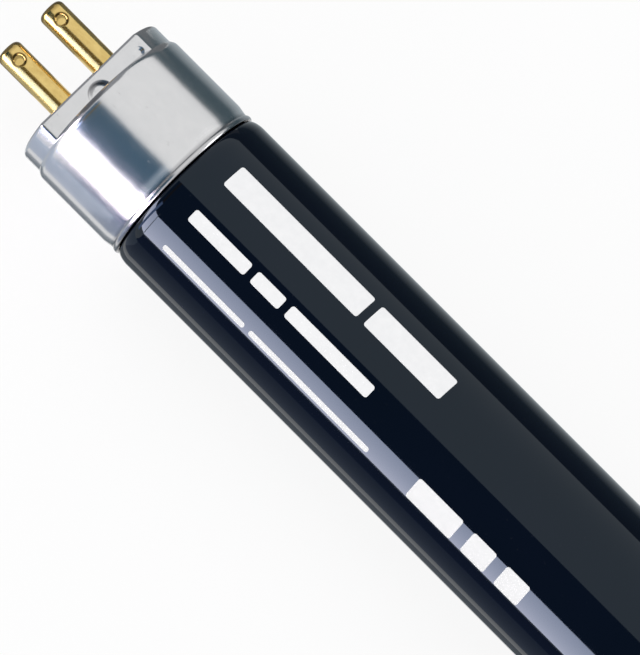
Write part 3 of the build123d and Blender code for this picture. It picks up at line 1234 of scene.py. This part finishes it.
stripe_low = around(-79.2, STAGE_REACH)
stripe_high = around(-48.6, STAGE_REACH)
dark_high = around(0.4, STAGE_REACH)
overhead_front = around(12.0, OVERHEAD_REACH)
overhead_back = around(52.0, OVERHEAD_REACH)
back_high = around(60.0, STAGE_REACH)
back_low = around(86.0, STAGE_REACH)
softbox("front_light", stripe_low, stripe_high, FRONT_LEVEL, LONG_REACH)
softbox("overhead_light", overhead_front, overhead_back, OVERHEAD_LEVEL, OVERHEAD_SPAN)
long_card("bright_card", stripe_low, stripe_high, (14.4, 12.4, 13.9), (10.6, 9.4, 11.0), LONG_REACH)
long_card("back_bright_card", back_high, back_low, (6.0, 5.9, 6.0), None, BACK_BRIGHT_SPAN)
long_card("dark_card", stripe_high, dark_high, DARK_TONE, None, (DARK_START, DARK_SPLIT))
card("fading_card", [(DARK_SPLIT, *dark_high), (DARK_SPLIT, *stripe_high),
                     (DARK_END, *stripe_high), (DARK_END, *dark_high)], DARK_TONE, FADED_TONE)
print(f"stripe between {stripe_low[1]:.3f} and {stripe_high[1]:.3f} m above the axis")

# %% [markdown]
# ### Low cards beside the tube
# The white floor would wash out the edges of a dark tube. A photographer would lay grey paper beside it,
# but paper would show in the picture. Here low cards that only reflections see lie on both sides, a
# narrow one at the contact line and wide ones that rise a little towards the edge of the stage. At the
# back they fade out towards the far end.

# %% Low cards
CARD_Z = floor_z + 0.2 * MM
GLASS_SPAN = (-0.1385, 0.1385)
BODY_SPAN = (-0.1462, 0.1462)
CONTACT_Y = 9.0 * MM
CONTACT_END_Y = 13.6 * MM
NEAR_Y = 17.2 * MM
FAR_Y = 58.0 * MM
BACK_Y = 26.0 * MM
FRONT_NEAR_X = -0.1483
FRONT_FAR_X = -0.2135
FRONT_FAR_Z = 0.028
BACK_FAR_Z = 0.030
BACK_SPLIT = -0.07
BACK_END = 0.12


def floor_card(name, first_y, last_y, first_tone, last_tone, span):
    """A card flat on the floor between two distances from the axis, along a span of the lamp."""
    return long_card(name, (first_y, CARD_Z), (last_y, CARD_Z), first_tone, last_tone, span)


floor_card("front_contact_card", -CONTACT_Y, -CONTACT_END_Y, (0.14, 0.17, 0.19), (0.34, 0.37, 0.41),
           BODY_SPAN)
floor_card("front_near_card", -NEAR_Y, -FAR_Y, (0.31, 0.36, 0.46), (0.26, 0.32, 0.47), GLASS_SPAN)
card("front_far_card", [(CARD_END, -FAR_Y, CARD_Z), (FRONT_NEAR_X, -FAR_Y, CARD_Z),
                        (FRONT_FAR_X, -STAGE_REACH, FRONT_FAR_Z), (CARD_END, -STAGE_REACH, FRONT_FAR_Z)],
     (0.10, 0.15, 0.28))
floor_card("back_near_card", CONTACT_Y, BACK_Y, (0.52, 0.57, 0.60), (0.085, 0.12, 0.14), BODY_SPAN)
back_near = (BACK_Y, CARD_Z)
back_far = (STAGE_REACH, BACK_FAR_Z)
long_card("back_far_card", back_near, back_far, (0.07, 0.105, 0.125), (0.10, 0.13, 0.15),
          (-CARD_END, BACK_SPLIT))
card("back_fading_card", [(BACK_SPLIT, *back_near), (BACK_SPLIT, *back_far),
                          (BACK_END, *back_far), (BACK_END, *back_near)],
     (0.085, 0.12, 0.14), (0.60, 0.62, 0.65))
print(f"low cards {CONTACT_Y / MM:.0f} to {STAGE_REACH / MM:.0f} mm from the axis")

# %% [markdown]
# ### Cards for the near end
# The brass pins would mirror the blue dark card as green, and the bright card as plain white. So two
# small cards above them give a brown stripe and a pale gold one. Metal mirrors far more than glass, so a
# dimmer card stands before the bright card for the cap. These three also shade, or the bright card would
# shine through them into the metal. Low cards about the end draw the edges of the cap and the tips of the
# pins as thin lines.

# %% Small cards
PIN_REACH = 40.0 * MM
PIN_SPAN = (-0.1558, -0.1488)
CAP_CARD_SPAN = (-0.1568, -0.1481)
CAP_CARD_LOW = (-114.8 * MM, 15.2 * MM)
CAP_CARD_HIGH = (-88.7 * MM, 76.3 * MM)

pin_split = around(-31.5, PIN_REACH)
pin_high_edge = around(0.4, PIN_REACH)
pin_low_edge = around(-80.0, PIN_REACH)
long_card("pin_dark_card", pin_split, pin_high_edge, (0.16, 0.105, 0.01), None, PIN_SPAN, shades=True)
long_card("pin_light_card", pin_low_edge, pin_split, (1.45, 1.8, 3.0), None, PIN_SPAN, shades=True)
long_card("cap_light_card", CAP_CARD_LOW, CAP_CARD_HIGH, (1.20, 1.22, 1.21), None, CAP_CARD_SPAN,
          shades=True)
print(f"pin cards {PIN_REACH / MM:.0f} mm from the axis")

# %% Low cards at the near end
END_X = -0.175
END_HALF = 0.020
END_TOP = 0.026
END_NEAR_X = -0.148
END_NEAR_HALF = 0.009
END_CARD_Z = floor_z + 0.3 * MM
PIN_BACK_Y = 45.0 * MM
PIN_BACK_RISE = 4.0 * MM

by_cap = (END_X, GLASS_SPAN[0])
by_pins = (END_X, BODY_SPAN[0])
floor_card("cap_front_card", -NEAR_Y, -FAR_Y, (0.50, 0.56, 0.68), (0.56, 0.66, 0.80), by_cap)
floor_card("pin_front_card", -CONTACT_Y, -NEAR_Y, (0.55, 0.60, 0.66), None, by_pins)
long_card("pin_back_card", (CONTACT_Y, CARD_Z), (PIN_BACK_Y, floor_z + PIN_BACK_RISE), (0.18, 0.19, 0.20),
          None, by_pins)
card("end_floor_card", [(END_NEAR_X, -END_NEAR_HALF, END_CARD_Z), (END_NEAR_X, END_NEAR_HALF, END_CARD_Z),
                        (END_X, END_HALF, END_CARD_Z), (END_X, -END_HALF, END_CARD_Z)], (0.34, 0.35, 0.37))
card("end_card", [(END_X, -END_HALF, END_CARD_Z), (END_X, END_HALF, END_CARD_Z),
                  (END_X, END_HALF, END_TOP), (END_X, -END_HALF, END_TOP)], (0.33, 0.34, 0.36))

# %% [markdown]
# ## Colour view
# A filmic view could soften the highlights, but it would also shift the colours. The plain Standard view
# shows them as they are written.

# %% Finish
bpy.context.scene.view_settings.view_transform = "Standard"
